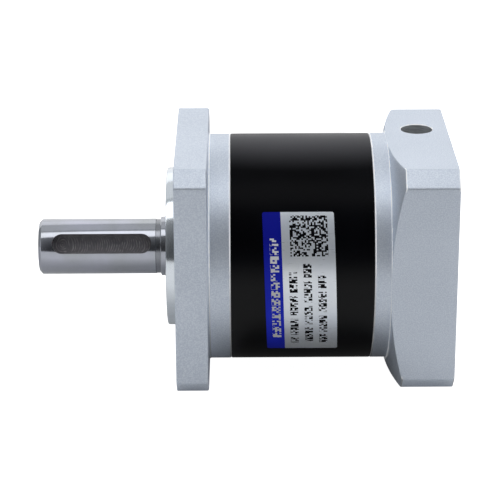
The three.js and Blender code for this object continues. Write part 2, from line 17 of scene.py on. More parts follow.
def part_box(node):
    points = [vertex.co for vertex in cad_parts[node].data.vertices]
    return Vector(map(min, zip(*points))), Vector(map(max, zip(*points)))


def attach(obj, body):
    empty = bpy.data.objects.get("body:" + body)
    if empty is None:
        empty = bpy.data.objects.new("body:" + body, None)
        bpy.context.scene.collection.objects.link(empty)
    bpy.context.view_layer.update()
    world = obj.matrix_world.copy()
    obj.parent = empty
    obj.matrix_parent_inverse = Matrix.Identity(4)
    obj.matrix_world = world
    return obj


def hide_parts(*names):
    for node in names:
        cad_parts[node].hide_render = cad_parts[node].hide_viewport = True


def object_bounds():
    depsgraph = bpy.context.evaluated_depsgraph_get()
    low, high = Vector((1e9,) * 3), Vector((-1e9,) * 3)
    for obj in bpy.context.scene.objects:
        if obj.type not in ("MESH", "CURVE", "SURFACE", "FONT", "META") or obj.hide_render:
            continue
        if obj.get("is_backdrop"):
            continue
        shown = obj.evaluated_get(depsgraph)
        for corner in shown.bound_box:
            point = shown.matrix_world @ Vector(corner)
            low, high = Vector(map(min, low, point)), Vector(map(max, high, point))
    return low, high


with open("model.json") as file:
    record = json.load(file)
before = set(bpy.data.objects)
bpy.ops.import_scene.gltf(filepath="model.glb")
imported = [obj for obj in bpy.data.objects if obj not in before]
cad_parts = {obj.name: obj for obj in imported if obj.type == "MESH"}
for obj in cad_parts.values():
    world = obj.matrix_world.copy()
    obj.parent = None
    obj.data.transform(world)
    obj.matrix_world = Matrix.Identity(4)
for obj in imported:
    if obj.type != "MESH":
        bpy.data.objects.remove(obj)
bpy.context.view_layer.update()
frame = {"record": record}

MM = 0.001
FULL_TURN = 2 * math.pi
RIGHT_ANGLE = math.pi / 2

# ---- sizes from the frame

MOUNTS = {mount["name"]: Vector(mount["pos_m"]) / MM for mount in frame["record"]["mounts"]}
FLANGE_X = MOUNTS["output_flange_face"].x
PILOT_X = MOUNTS["pilot_face"].x
MOTOR_X = MOUNTS["motor_face"].x
TIP_X = MOUNTS["output_shaft_end"].x


def box(node):
    """The lowest and highest corner of a CAD node."""
    return [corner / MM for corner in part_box(node)]


def span(node):
    """The first and last station of a CAD node along the axis, and its outer radius."""
    low, high = box(node)
    return low.x, high.x, high.z


def round_of(node):
    """The place (y, z) across the axis of a round CAD node, and its radius."""
    low, high = box(node)
    middle = (low + high) / 2
    return (middle.y, middle.z), high.z - middle.z


CASE_FRONT, CASE_BACK, BODY_R = span("ring_gear_case")
_, HOUSING_END, FRONT_HALF = span("front_housing")
ADAPTER_START, _, REAR_HALF = span("motor_adapter")
SEAL_X, SEAL_END, SEAL_R = span("output_oil_seal")
DISC_X, DISC_END, CARRIER_R = span("first_stage_carrier")

CORNER_CUT = 3.7
PLATE_BACK = FLANGE_X + 8
PILOT_R = 20
SPIGOT_R = 26
BOLT_HALF = 47.14 / 2
FLANGE_HOLE_R = 2.6
TAPPED_R = 2.1
TAPPED_DEPTH = 11.5
THREAD_PITCH = 0.8
REGISTER_R = 19.1
REGISTER_DEPTH = 2
CLAMP_ROOM_R = 17.5
DOME_START = CASE_BACK + 4
DOME_DEPTH = 3
ACCESS_R = 4
ACCESS_FLOOR = 15

SHAFT_R = 7
JOURNAL_R = 7.5
KEYWAY_HALF = 2.5
KEYWAY_START = TIP_X + 3.5
KEYWAY_END = KEYWAY_START + 25
KEYWAY_FLOOR = SHAFT_R - 3
KEYWAY_ANGLE = math.radians(154)
CENTRE_HOLE_R = 2.1
FIRST_PLANET = RIGHT_ANGLE

FIT = 0.03

# ---- shader helpers


class Shader:
    """A node tree with short calls for the nodes the materials here need."""

    def __init__(self, name):
        self.material = bpy.data.materials.new(name)
        self.material.use_nodes = True
        self.tree = self.material.node_tree
        self.surface = self.tree.nodes["Principled BSDF"]
        self.coords = self.tree.nodes.new("ShaderNodeTexCoord")
        self.place = self.coords.outputs["Object"]

    def node(self, kind, inputs, **settings):
        made = self.tree.nodes.new(kind)
        for key, value in settings.items():
            setattr(made, key, value)
        for key, value in inputs.items():
            self.plug(made.inputs[key], value)
        return made

    def plug(self, socket, value):
        if isinstance(value, bpy.types.NodeSocket):
            self.tree.links.new(value, socket)
        else:
            socket.default_value = value

    def math(self, operation, first, second=0.0):
        return self.node("ShaderNodeMath", {0: first, 1: second}, operation=operation).outputs[0]

    def times(self, first, second):
        return self.math("MULTIPLY", first, second)

    def add(self, first, second):
        return self.math("ADD", first, second)

    def parts(self, vector):
        """The vector's three components."""
        return self.node("ShaderNodeSeparateXYZ", {0: vector}).outputs

    def facing_up(self):
        """1 where the surface looks straight up, -1 where it looks down."""
        return self.parts(self.tree.nodes.new("ShaderNodeNewGeometry").outputs["Normal"])[2]

    def noise(self, scale, stretch=(1, 1, 1), detail=2.0):
        """Noise in the object's own metres: scale is features per metre, stretch is per axis."""
        mapping = self.node("ShaderNodeMapping", {"Vector": self.place, "Scale": stretch})
        inputs = {"Vector": mapping.outputs[0], "Scale": scale, "Detail": detail}
        return self.node("ShaderNodeTexNoise", inputs).outputs["Fac"]

    def between(self, value, low, high):
        """value spread from 0 at low to 1 at high."""
        inputs = {"Value": value, "From Min": low, "From Max": high}
        return self.node("ShaderNodeMapRange", inputs).outputs[0]

    def lerp(self, factor, low, high):
        inputs = {"Value": factor, "To Min": low, "To Max": high}
        return self.node("ShaderNodeMapRange", inputs).outputs[0]

    def blend(self, factor, first, second):
        made = self.node("ShaderNodeMix", {"Factor": factor}, data_type="RGBA")
        self.plug(made.inputs[6], first)
        self.plug(made.inputs[7], second)
        return made.outputs[2]

    def bump(self, height, depth, strength):
        """Raises the surface by up to this depth in millimetres."""
        inputs = {"Height": height, "Distance": depth * MM, "Strength": strength}
        self.plug(self.surface.inputs["Normal"], self.node("ShaderNodeBump", inputs).outputs[0])

    def finish(self, **values):
        """Sets the principled shader's inputs; an underscore stands for a space."""
        for key, value in values.items():
            self.plug(self.surface.inputs[key.replace("_", " ")], value)
        return self.material


def grey(level, blue=1.0):
    return (level, level * (1 + blue) / 2, level * blue, 1)


# ---- materials


def blasted_aluminium():
    """Bead-blasted casting: fine bright grain over a slow drift in tone."""
    s = Shader("blasted_aluminium")
    grain = s.noise(3400, detail=3)
    drift = s.noise(45)
    speck = s.between(grain, 0.4, 0.66)
    tone = s.blend(s.between(drift, 0.35, 0.65), (0.6, 0.66, 0.76, 1), (0.64, 0.7, 0.8, 1))
    color = s.blend(s.times(speck, 0.45), tone, (0.88, 0.94, 1.0, 1))
    s.bump(grain, 0.06, 0.5)
    return s.finish(Base_Color=color, Metallic=0.6, Roughness=s.lerp(speck, 0.5, 0.38))


# Strength of the glow that paints a highlight on thin edges.
EDGE_GLOW = 0.26


def edge_highlight_aluminium():
    """Thin edges painted bright as a painted highlight for the light that their rounding catches, with a
    faint glow; painted shade darkens them where they face down.
    """
    s = Shader("edge_highlight_aluminium")
    edge_grain = s.noise(900, detail=3)
    lit_from_above = s.between(s.facing_up(), -0.8, 0.2)
    worn = s.blend(s.between(edge_grain, 0.35, 0.6), (0.8, 0.84, 0.9, 1), (0.98, 0.99, 1.0, 1))
    # Painted shade: the edge turns dark grey where it faces down.
    color = s.blend(lit_from_above, grey(0.3, 1.1), worn)
    roughness = s.lerp(edge_grain, 0.35, 0.5)
    # Painted highlight: the edge glows except where it faces down.
    glow = s.times(lit_from_above, EDGE_GLOW)
    s.bump(edge_grain, 0.02, 0.3)
    return s.finish(Base_Color=color, Roughness=roughness, Emission_Color=color, Emission_Strength=glow)


GROOVE_PITCH = 0.16 * MM


def turned_aluminium():
    """Machined faces and bores: fine rings from the lathe tool."""
    s = Shader("turned_aluminium")
    rings = s.noise(1, stretch=(9000, 40, 40))
    _, y, z = s.parts(s.place)
    radius = s.math("SQRT", s.add(s.times(y, y), s.times(z, z)))
    grooves = s.math("SINE", s.times(radius, FULL_TURN / GROOVE_PITCH))
    patches = s.noise(70)
    color = s.blend(s.between(patches, 0.3, 0.7), grey(0.74, 1.14), grey(0.82, 1.12))
    s.bump(s.add(rings, s.times(grooves, 0.25)), 0.004, 0.35)
    return s.finish(Base_Color=color, Metallic=0.95, Roughness=s.lerp(patches, 0.1, 0.18))


def drilled_aluminium():
    """The wall of a drilled hole: dull, with the spiral marks of the drill, and its greys kept dark as
    painted shade inside the hole.
    """
    s = Shader("drilled_aluminium")
    spiral = s.noise(1, stretch=(300, 300, 5200))
    # Painted shade: both greys are darker than the casting's, for the shade inside the hole; the spiral
    # marks are real.
    color = s.blend(s.between(spiral, 0.35, 0.65), grey(0.3, 1.05), grey(0.55, 1.08))
    s.bump(spiral, 0.02, 0.5)
    return s.finish(Base_Color=color, Metallic=0.2, Roughness=s.lerp(spiral, 0.4, 0.6))


def black_coat():
    """Satin black finish with faint turning lines, painted lighter grey on top as a painted sheen for the
    light from above.
    """
    s = Shader("black_coat")
    lines = s.noise(1, stretch=(5200, 25, 25))
    smudge = s.noise(60, detail=4)
    up = s.facing_up()
    # Painted sheen: lighter grey where the case faces up, for the light from above.
    top_sheen = s.times(s.math("POWER", s.between(up, 0.86, 1.0), 1.5), s.lerp(smudge, 0.7, 1.0))
    coat = s.blend(s.between(smudge, 0.4, 0.7), (0.001, 0.0012, 0.002, 1), (0.002, 0.0022, 0.0035, 1))
    color = s.blend(top_sheen, coat, (0.085, 0.085, 0.095, 1))
    gloss = s.lerp(s.between(up, 0.0, 0.4), 0.16, 0.04)
    roughness = s.add(s.lerp(smudge, 0.22, 0.36), s.times(lines, 0.06))
    s.bump(lines, 0.004, 0.4)
    return s.finish(Base_Color=color, Specular_IOR_Level=gloss, Roughness=roughness)


def ground_steel(name, level, low, high):
    """Cylindrically ground steel: hair-fine lines round the shaft, with a few deeper ones."""
    s = Shader(name)
    fine = s.noise(1, stretch=(14000, 120, 120), detail=3)
    deep = s.between(s.noise(1, stretch=(2600, 30, 30)), 0.66, 0.8)
    stain = s.noise(110, detail=5)
    clean = (level, 1.03 * level, 1.19 * level, 1)
    color = s.blend(s.between(stain, 0.35, 0.7), clean, grey(level * 0.86, 1.1))
    roughness = s.add(s.lerp(fine, low, high), s.times(stain, 0.06))
    s.bump(s.add(fine, s.times(deep, 0.3)), 0.003, 0.3)
    return s.finish(Base_Color=color, Metallic=1.0, Roughness=roughness)


CUTTER_STEP = 0.62


def milled_steel():
    """The key slot: a chain of cutter arcs along its floor, and a round plunge mark at its start."""
    s = Shader("milled_steel")
    sideways = (0, -math.sin(KEYWAY_ANGLE), math.cos(KEYWAY_ANGLE))
    place = s.node("ShaderNodeVectorMath", {0: s.place, "Scale": 1 / MM}, operation="SCALE").outputs[0]
    dot = s.node("ShaderNodeVectorMath", {0: place, 1: sideways}, operation="DOT_PRODUCT")
    side = s.times(dot.outputs["Value"], dot.outputs["Value"])
    along = s.math("SUBTRACT", s.parts(place)[0], KEYWAY_START + KEYWAY_HALF)
    room = s.math("MAXIMUM", s.math("SUBTRACT", (1.1 * KEYWAY_HALF) ** 2, side), 0.0)
    arcs = s.math("SUBTRACT", along, s.math("SQRT", room))
    far = s.math("SQRT", s.add(s.times(along, along), side))
    plunge = s.math("LESS_THAN", far, 0.86 * KEYWAY_HALF)
    phase = s.add(s.times(plunge, far), s.times(s.math("SUBTRACT", 1.0, plunge), arcs))
    wobble = s.times(s.noise(300), 1.6)
    wave = s.math("SINE", s.times(s.add(phase, wobble), FULL_TURN / CUTTER_STEP))
    wear = s.noise(1100, detail=4)
    ridge = s.times(s.between(wave, 0.35, 1.0), s.between(wear, 0.38, 0.66))
    color = s.blend(ridge, (0.2, 0.19, 0.205, 1), (0.55, 0.54, 0.55, 1))
    s.bump(s.add(wave, s.times(wear, 0.8)), 0.03, 0.8)
    return s.finish(Base_Color=color, Metallic=0.35, Roughness=s.lerp(wear, 0.4, 0.6))


def gear_steel():
    """Hobbed and case-hardened steel with a thin film of oil."""
    s = Shader("gear_steel")
    cuts = s.noise(1, stretch=(600, 2600, 2600), detail=3)
    temper = s.between(s.noise(140), 0.35, 0.65)
    color = s.blend(temper, grey(0.3), (0.38, 0.36, 0.33, 1))
    s.bump(cuts, 0.01, 0.5)
    s.finish(Coat_Weight=0.3, Coat_Roughness=0.15)
    return s.finish(Base_Color=color, Metallic=1.0, Roughness=s.lerp(cuts, 0.25, 0.42))


def spring_steel():
    """Oil-blackened steel: nearly black, worn brighter in patches."""
    s = Shader("spring_steel")
    scale = s.noise(1500, detail=4)
    worn = s.between(s.noise(1300, detail=4), 0.55, 0.8)
    color = s.blend(worn, grey(0.05, 1.05), grey(0.13))
    s.bump(scale, 0.01, 0.4)
    return s.finish(Base_Color=color, Metallic=0.9, Roughness=s.lerp(scale, 0.32, 0.5))


def sintered_bronze():
    """Porous bronze bushes."""
    s = Shader("sintered_bronze")
    pores = s.noise(5000, detail=1)
    pit = s.between(pores, 0.62, 0.7)
    color = s.blend(pit, (0.52, 0.33, 0.15, 1), (0.16, 0.09, 0.04, 1))
    s.bump(s.math("SUBTRACT", 1.0, pit), 0.02, 0.5)
    return s.finish(Base_Color=color, Metallic=0.95, Roughness=s.lerp(pores, 0.35, 0.5))


def black_rubber():
    """Moulded nitrile rubber with a dusty bloom."""
    s = Shader("black_rubber")
    bloom = s.noise(260, detail=5)
    color = s.blend(s.between(bloom, 0.45, 0.75), (0.012, 0.012, 0.013, 1), (0.045, 0.045, 0.048, 1))
    s.bump(s.noise(4000), 0.012, 0.5)
    return s.finish(Base_Color=color, Roughness=s.lerp(bloom, 0.55, 0.75))


LABEL_WIDTH = 17.3
LABEL_HEIGHT = 39.4
BAND_WIDTH = 4.4


def label_print():
    """Silver film with a blue band, and plain marks for print. The UV map is in millimetres."""
    s = Shader("label_print")
    across, down, _ = s.parts(s.coords.outputs["UV"])

    def within(value, low, high):
        return s.times(s.math("GREATER_THAN", value, low), s.math("LESS_THAN", value, high))

    def patch(left, right, top, bottom):
        return s.times(within(across, left, right), within(down, top, bottom))

    def cells(width, height, share):
        """Random cells of the given size, of which this share is filled."""
        column = s.math("FLOOR", s.math("DIVIDE", across, width))
        row = s.math("FLOOR", s.math("DIVIDE", down, height))
        cell = s.node("ShaderNodeCombineXYZ", {0: column, 1: row, 2: 3.0})
        value = s.node("ShaderNodeTexWhiteNoise", {"Vector": cell.outputs[0]}, noise_dimensions="3D")
        return s.math("LESS_THAN", value.outputs["Value"], share)

    def spaced(pitch, share):
        """Marks of this pitch down the label, with a gap after each."""
        return s.math("LESS_THAN", s.math("FRACT", s.math("DIVIDE", down, pitch)), share)

    def line(left, top):
        """A line of small marks, broken into words."""
        marks = s.times(spaced(1.26, 0.84), cells(0.5, 0.35, 0.62))
        rhythm = s.math("SINE", s.times(s.add(down, 3 * left), 0.95))
        words = s.times(marks, s.math("GREATER_THAN", rhythm, -0.9))
        return s.times(patch(left, left + 2, top, 36.6), words)

    band = s.math("LESS_THAN", across, BAND_WIDTH)
    stripe = s.times(patch(1.5, 3.6, 6.45, 34.2), s.times(spaced(2.15, 0.84), cells(0.52, 0.43, 0.6)))
    ink = s.times(patch(6.44, 15.64, 0.9, 10.8), cells(0.4, 0.36, 0.52))
    for left, top in ((5.9, 14.6), (9.4, 12.5), (12.9, 15.5)):
        ink = s.math("MAXIMUM", ink, line(left, top))
    sheen = s.between(s.noise(90), 0.3, 0.7)
    brushed = s.noise(1, stretch=(300, 6000, 6000))
    film = s.blend(sheen, (0.84, 0.9, 1.0, 1), (0.92, 0.96, 1.0, 1))
    # Painted highlight: the blue band is brightest 0.68 of the way down, where the curved label catches
    # the light, and darker towards its ends.
    height = s.math("ABSOLUTE", s.math("SUBTRACT", s.math("DIVIDE", down, LABEL_HEIGHT), 0.68))
    blue = s.blend(s.between(height, 0.0, 0.5), (0.025, 0.045, 0.8, 1), (0.008, 0.012, 0.32, 1))
    printed = s.blend(ink, film, (0.002, 0.002, 0.003, 1))
    bare = s.math("SUBTRACT", 1.0, s.math("MAXIMUM", band, ink))
    s.bump(brushed, 0.004, 0.3)
    return s.finish(
        Base_Color=s.blend(band, printed, s.blend(stripe, blue, grey(0.8))),
        Metallic=s.times(bare, 0.55),
        Specular_IOR_Level=s.lerp(bare, 0.06, 0.4),
        Roughness=s.lerp(brushed, 0.24, 0.36),
    )


BLASTED = blasted_aluminium()
TURNED = turned_aluminium()
EDGE_HIGHLIGHT = edge_highlight_aluminium()
DRILLED = drilled_aluminium()
BLACK = black_coat()
GROUND = ground_steel("ground_steel", level=0.46, low=0.07, high=0.13)
WORN = ground_steel("worn_steel", level=0.3, low=0.14, high=0.24)
POLISHED = ground_steel("bearing_steel", level=0.62, low=0.08, high=0.18)
MILLED = milled_steel()
GEAR = gear_steel()
SPRING = spring_steel()
BRONZE = sintered_bronze()
RUBBER = black_rubber()
LABEL = label_print()

# ---- mesh helpers

SHARP_ANGLE = math.radians(35)
WELD_DISTANCE = 1e-7


def at(x, radius, angle):
    """The point at this station and radius, at this angle round the axis."""
    return Vector((x, radius * math.cos(angle), radius * math.sin(angle)))


def turns(count):
    return [FULL_TURN * i / count for i in range(count)]


def link(name, data):
    """A new object in the scene that shows this mesh, camera or light."""
    made = bpy.data.objects.new(name, data)
    bpy.context.scene.collection.objects.link(made)
    return made


def weld(bm):
    """Merges corners that are less than the weld distance, in metres, apart."""
    bmesh.ops.remove_doubles(bm, verts=bm.verts, dist=WELD_DISTANCE)
    bmesh.ops.dissolve_degenerate(bm, edges=bm.edges, dist=WELD_DISTANCE / 10)


def crease(piece):
    """Shades the piece smooth, with its creases sharp."""
    piece.data.shade_smooth()
    piece.data.set_sharp_from_angle(angle=SHARP_ANGLE)


def make_piece(name, bm, materials=()):
    """The object made of a bmesh in millimetres, which is used up."""
    bmesh.ops.scale(bm, vec=(MM, MM, MM), verts=bm.verts)
    weld(bm)
    bmesh.ops.recalc_face_normals(bm, faces=bm.faces)
    mesh = bpy.data.meshes.new(name)
    bm.to_mesh(mesh)
    bm.free()
    for material in materials:
        mesh.materials.append(material)
    piece = link(name, mesh)
    crease(piece)
    return piece


def loft(name, rings, materials=(), closed=True):
    """Skins a list of rings of points, each the same length. closed joins the last to the first;
    otherwise each end is capped."""
    bm = bmesh.new()
    loops = [[bm.verts.new(point) for point in ring] for ring in rings]
    pairs = list(zip(loops, loops[1:]))
    if closed:
        pairs.append((loops[-1], loops[0]))
    else:
        bm.faces.new(loops[0])
        bm.faces.new(loops[-1])
    for first, second in pairs:
        for i in range(len(first)):
            j = (i + 1) % len(first)
            bm.faces.new((first[i], first[j], second[j], second[i]))
    return make_piece(name, bm, materials)


def round_rings(section, angles):
    """A ring of points at these angles for each (station, radius)."""
    return [[at(x, r, a) for a in angles] for x, r in section]


def turned(name, section, materials=(), count=144, closed=True):
    """A solid of revolution from a list of (station, radius)."""
    return loft(name, round_rings(section, turns(count)), materials, closed)


def drill(section, place, count=48):
    """A round cutter along X at place (y, z), from a list of (station, radius)."""
    tool = turned("drill", section, count=count, closed=False)
    tool.location = Vector((0, *place)) * MM
    return tool


def upright_drill(section, place, count):
    """A round cutter along Z at place (x, y), from a list of (height, radius)."""
    tool = turned("upright_drill", section, count=count, closed=False)
    tool.rotation_euler = (0, -RIGHT_ANGLE, 0)
    tool.location = Vector((*place, 0)) * MM
    return tool


def washer(name, stations, radii, edge, material, steps=2, count=120):
    """A flat ring between two stations and two radii, its edges rounded in this many steps."""
    (front, back), (inner, outer) = stations, radii
    corners = [(front, inner), (front, outer), (back, outer), (back, inner)]
    section = []
    for i, corner in enumerate(corners):
        here = Vector(corner)
        before = Vector(corners[i - 1]) - here
        after = Vector(corners[(i + 1) % 4]) - here
        reach = min(edge, before.length / 2.2, after.length / 2.2)
        start = here + before.normalized() * reach
        end = here + after.normalized() * reach
        for k in range(steps + 1):
            t = k / steps
            section.append((1 - t) ** 2 * start + 2 * t * (1 - t) * here + t * t * end)
    return turned(name, section, [material], count)


def combine(piece, others, operation):
    """Joins or cuts piece with others, which are used up, and keeps the result as its mesh."""
    for other in others:
        change = piece.modifiers.new("boolean", "BOOLEAN")
        change.operation = operation
        change.solver = "EXACT"
        change.object = other
    bpy.context.view_layer.update()
    shaped = bpy.data.meshes.new_from_object(piece.evaluated_get(bpy.context.evaluated_depsgraph_get()))
    piece.modifiers.clear()
    piece.data = shaped
    bm = bmesh.new()
    bm.from_mesh(shaped)
    weld(bm)
    bm.to_mesh(shaped)
    bm.free()
    for other in others:
        bpy.data.objects.remove(other)
    crease(piece)


def paint(piece, material, chosen):
    """Gives the faces whose centre and normal pass chosen this material."""
    piece.data.materials.append(material)
    index = len(piece.data.materials) - 1
    for face in piece.data.polygons:
        if chosen(face.center / MM, face.normal):
            face.material_index = index


def settle(piece, body, slot, *nodes):
    """Rides the piece on its body and stands it for its CAD nodes."""
    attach(piece, body)
    if nodes:
        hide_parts(*nodes)


def from_axis(point):
    return math.hypot(point.y, point.z)


# ---- square castings

SOFTENING = 0.09
BOLT_PLACES = [(y * BOLT_HALF, z * BOLT_HALF) for y in (-1, 1) for z in (-1, 1)]
TINY = 1e-9


def square_angles(half):
    """Even angles with extra ones close to the eight corners of a square with cut corners."""
    corner = math.atan((half - CORNER_CUT) / half)
    near = [math.radians(step) for step in (-1.0, -0.6, -0.3, 0.0, 0.3, 0.6, 1.0)]
    corners = [q * RIGHT_ANGLE + side * corner for q in range(4) for side in (1, -1)]
    extra = [(c + n) % FULL_TURN for c in corners for n in near]
    even = [a for a in turns(240) if min(abs(a - e) for e in extra) > math.radians(0.2)]
    return sorted(even + extra)


def square_radius(angle, half, inset=0.0):
    """The radius of the cut-cornered square's outline at this angle, its corners a little softened."""
    y, z = abs(math.cos(angle)), abs(math.sin(angle))
    side = half - inset
    cut = math.sqrt(2) * half - CORNER_CUT / math.sqrt(2) - inset
    ways = [side / max(y, TINY), side / max(z, TINY), cut * math.sqrt(2) / (y + z)]
    nearest = min(ways)
    return nearest - SOFTENING * math.log(sum(math.exp((nearest - way) / SOFTENING) for way in ways))


def rounded_edge(x, radius, outward, steps=4):
    """(station, inset) pairs of a rounded edge that ends in a face at x, from the face outwards."""
    angles = [RIGHT_ANGLE * i / steps for i in range(steps + 1)]
    return [(x - outward * radius * (1 - math.cos(a)), radius * (1 - math.sin(a))) for a in angles]


def front_housing():
    """Output flange: pilot, square plate, round boss, and the bearing seats inside."""
    angles = square_angles(FRONT_HALF)
    fillet = 0.5
    plate_middle = (FLANGE_X + PLATE_BACK) / 2

    def square_ring(x, inset):
        """A ring of the plate, whose back stays just outside the fillet where the boss meets it."""
        least = BODY_R + 0.52 if x > plate_middle else BODY_R
        return [at(x, max(square_radius(a, FRONT_HALF, inset), least), a) for a in angles]

    front_x, _, front_r = span("front_output_bearing_outer_race")
    rear_x, _, rear_r = span("rear_output_bearing_outer_race")
    ring_x, ring_end, ring_r = span("housing_snap_ring")
    inside = [
        (CASE_FRONT, SPIGOT_R), (HOUSING_END - 0.3, SPIGOT_R), (HOUSING_END, SPIGOT_R - 0.3),
        (HOUSING_END, rear_r + FIT), (ring_end + FIT, rear_r + FIT), (ring_end + FIT, ring_r + FIT),
        (ring_x - FIT, ring_r + FIT), (ring_x - FIT, rear_r + FIT), (rear_x - FIT, rear_r + FIT),
        (rear_x - FIT, front_r + FIT), (front_x - FIT, front_r + FIT), (front_x - FIT, SEAL_R - 1),
        (SEAL_END + FIT, SEAL_R - 1), (SEAL_END + FIT, SEAL_R + FIT),
        (PILOT_X + 0.4, SEAL_R + FIT), (PILOT_X, SEAL_R + 0.4),
    ]
    pilot = [(PILOT_X, PILOT_R - 0.5), (PILOT_X + 0.12, PILOT_R - 0.14), (PILOT_X + 0.5, PILOT_R)]
    pilot.append((FLANGE_X, PILOT_R))
    boss = [(x, BODY_R + outset) for x, outset in rounded_edge(PLATE_BACK, fillet, -1, 3)]
    boss += [(x, BODY_R - inset) for x, inset in reversed(rounded_edge(CASE_FRONT, 0.35, 1))]
    rings = round_rings(pilot, angles)
    rings += [square_ring(x, inset) for x, inset in rounded_edge(FLANGE_X, 0.25, -1)]
    rings += [square_ring(x, inset) for x, inset in reversed(rounded_edge(PLATE_BACK, 0.45, 1))]
    rings += round_rings(boss + inside, angles)
    piece = loft("output_flange_casting", rings, [BLASTED])
    flare = 0.3
    hole = [(FLANGE_X - 1, FLANGE_HOLE_R + flare + 1), (FLANGE_X + flare, FLANGE_HOLE_R)]
    hole.append((PLATE_BACK + 1, FLANGE_HOLE_R))
    combine(piece, [drill(hole, place) for place in BOLT_PLACES], "DIFFERENCE")

    def machined(centre, normal):
        radius = from_axis(centre)
        seat = centre.x > FLANGE_X and SPIGOT_R - 1 < radius < SPIGOT_R + 0.2
        return seat or radius < PILOT_R + 0.05

    # The chamfer at the case end and the root of the fillet, which get a painted highlight.
    def edge_highlighted(centre, normal):
        radius = from_axis(centre)
        end = centre.x > CASE_FRONT - 0.3 and radius > BODY_R - 0.4
        root = PLATE_BACK + 0.5 * fillet < centre.x < PLATE_BACK + fillet
        return end or (root and SPIGOT_R < radius < BODY_R + fillet)

    paint(piece, TURNED, machined)
    paint(piece, EDGE_HIGHLIGHT, edge_highlighted)
    settle(piece, "housing", "cast_aluminium", "front_housing")


def motor_adapter():
    """Motor-side casting: round boss, domed shoulder, square block, and the room for the clamp."""
    angles = square_angles(REAR_HALF)
    corner_r = square_radius(math.radians(45), REAR_HALF)
    hole_place = screw_size()[0]

    def dome_x(radius):
        """The dome rises quickly at first and leans over towards the corners."""
        share = max(0.0, (radius - BODY_R) / (corner_r - BODY_R))
        return DOME_START + DOME_DEPTH * (0.72 * share + 0.28 * share * share)

    def dome_ring(share, back=0.0, inset=0.0):
        """A ring this share of the way from the boss to the block's outline."""
        points = []
        for a in angles:
            edge = max(square_radius(a, REAR_HALF, inset), BODY_R - inset)
            radius = BODY_R + (edge - BODY_R) * share
            points.append(at(dome_x(radius) + back, radius, a))
        return points

    bearing_x, bearing_end, bearing_r = span("input_bearing_outer_race")
    register_floor = MOTOR_X - REGISTER_DEPTH
    room_floor = bearing_end + 2.6
    inside = [
        (MOTOR_X, REGISTER_R + 0.3), (MOTOR_X - 0.3, REGISTER_R), (register_floor, REGISTER_R),
        (register_floor, CLAMP_ROOM_R + 0.3), (register_floor - 0.3, CLAMP_ROOM_R),
        (room_floor, CLAMP_ROOM_R), (room_floor, bearing_r + FIT), (bearing_x - FIT, bearing_r + FIT),
        (bearing_x - FIT, bearing_r - 1.4), (ADAPTER_START, bearing_r - 1.4),
        (ADAPTER_START, SPIGOT_R - 0.3), (ADAPTER_START + 0.3, SPIGOT_R), (CASE_BACK, SPIGOT_R),
    ]
    boss = [(x, BODY_R - inset) for x, inset in rounded_edge(CASE_BACK, 0.35, -1)]
    rings = round_rings(boss, angles)
    rings += [dome_ring(share) for share in (0, 0.1, 0.2, 0.33, 0.5, 0.67, 0.83, 0.965)]
    rings += [dome_ring(1, back=0.04, inset=0.05), dome_ring(1, back=0.3)]
    for x, inset in reversed(rounded_edge(MOTOR_X, 0.25, 1)):
        rings.append([at(x, square_radius(a, REAR_HALF, inset), a) for a in angles])
    rings += round_rings(inside, angles)
    piece = loft("motor_adapter_casting", rings, [BLASTED])
    holes = [drill(tapped_section(), place, 32) for place in BOLT_PLACES]
    combine(piece, holes + [access_hole(hole_place)], "DIFFERENCE")

    def off_hole(centre):
        return math.dist((centre.x, centre.y), hole_place)

    def machined(centre, normal):
        radius = from_axis(centre)
        inner = radius < REGISTER_R + 0.4 and centre.x > CASE_BACK - 1
        spigot = radius < SPIGOT_R + 0.1 and centre.x < CASE_BACK
        nearest = min(math.dist((centre.y, centre.z), place) for place in BOLT_PLACES)
        tapped = nearest < TAPPED_R + 0.5 and centre.x > MOTOR_X - TAPPED_DEPTH - 1
        face = abs(normal.x) > 0.99 and centre.x > MOTOR_X - 0.05
        return inner or spigot or tapped or face

    def drilled(centre, normal):
        deep = ACCESS_FLOOR < centre.z < REAR_HALF - 0.22
        return deep and off_hole(centre) < ACCESS_R + 0.02

    # The case-end chamfer, the dome's start and brow, and the rim of the wrench hole, which get a painted
    # highlight.
    def edge_highlighted(centre, normal):
        radius = from_axis(centre)
        end = centre.x < CASE_BACK + 0.3 and radius > BODY_R - 0.4
        outline = square_radius(math.atan2(centre.z, centre.y), REAR_HALF)
        tilted = abs(normal.x) > 0.1
        start = tilted and DOME_START < centre.x < DOME_START + 0.15
        brow = tilted and abs(radius - outline) < 0.12 and corner_r - radius < 0.4
        near_top = centre.z > REAR_HALF - 0.4 and normal.z < 0.95
        rim = near_top and ACCESS_R - 0.02 < off_hole(centre) < ACCESS_R + 0.25
        return end or start or brow or rim

    paint(piece, TURNED, machined)
    # The wall of the wrench hole, whose darker grey is painted shade.
    paint(piece, DRILLED, drilled)
    paint(piece, EDGE_HIGHLIGHT, edge_highlighted)
    settle(piece, "housing", "cast_aluminium", "motor_adapter")


def tapped_section():
    """A tapping hole with thread grooves, a countersunk mouth and a drill point."""
    bottom = MOTOR_X - TAPPED_DEPTH
    section = [(MOTOR_X + 1, TAPPED_R + 0.5), (MOTOR_X, TAPPED_R + 0.5)]
    x = MOTOR_X - 0.4
    while x - THREAD_PITCH > bottom + 1:
        section += [(x, TAPPED_R), (x - THREAD_PITCH / 2, TAPPED_R + 0.36)]
        x -= THREAD_PITCH
    return section + [(x, TAPPED_R), (bottom, TAPPED_R), (bottom - 0.9, 0.1)]


def access_hole(place):
    """A cutter for the wrench hole, with a small chamfer at its mouth."""
    chamfer = 0.2
    section = [(ACCESS_FLOOR, ACCESS_R), (REAR_HALF - chamfer, ACCESS_R)]
    section.append((REAR_HALF + chamfer, ACCESS_R + 2 * chamfer))
    return upright_drill(section, place, 64)


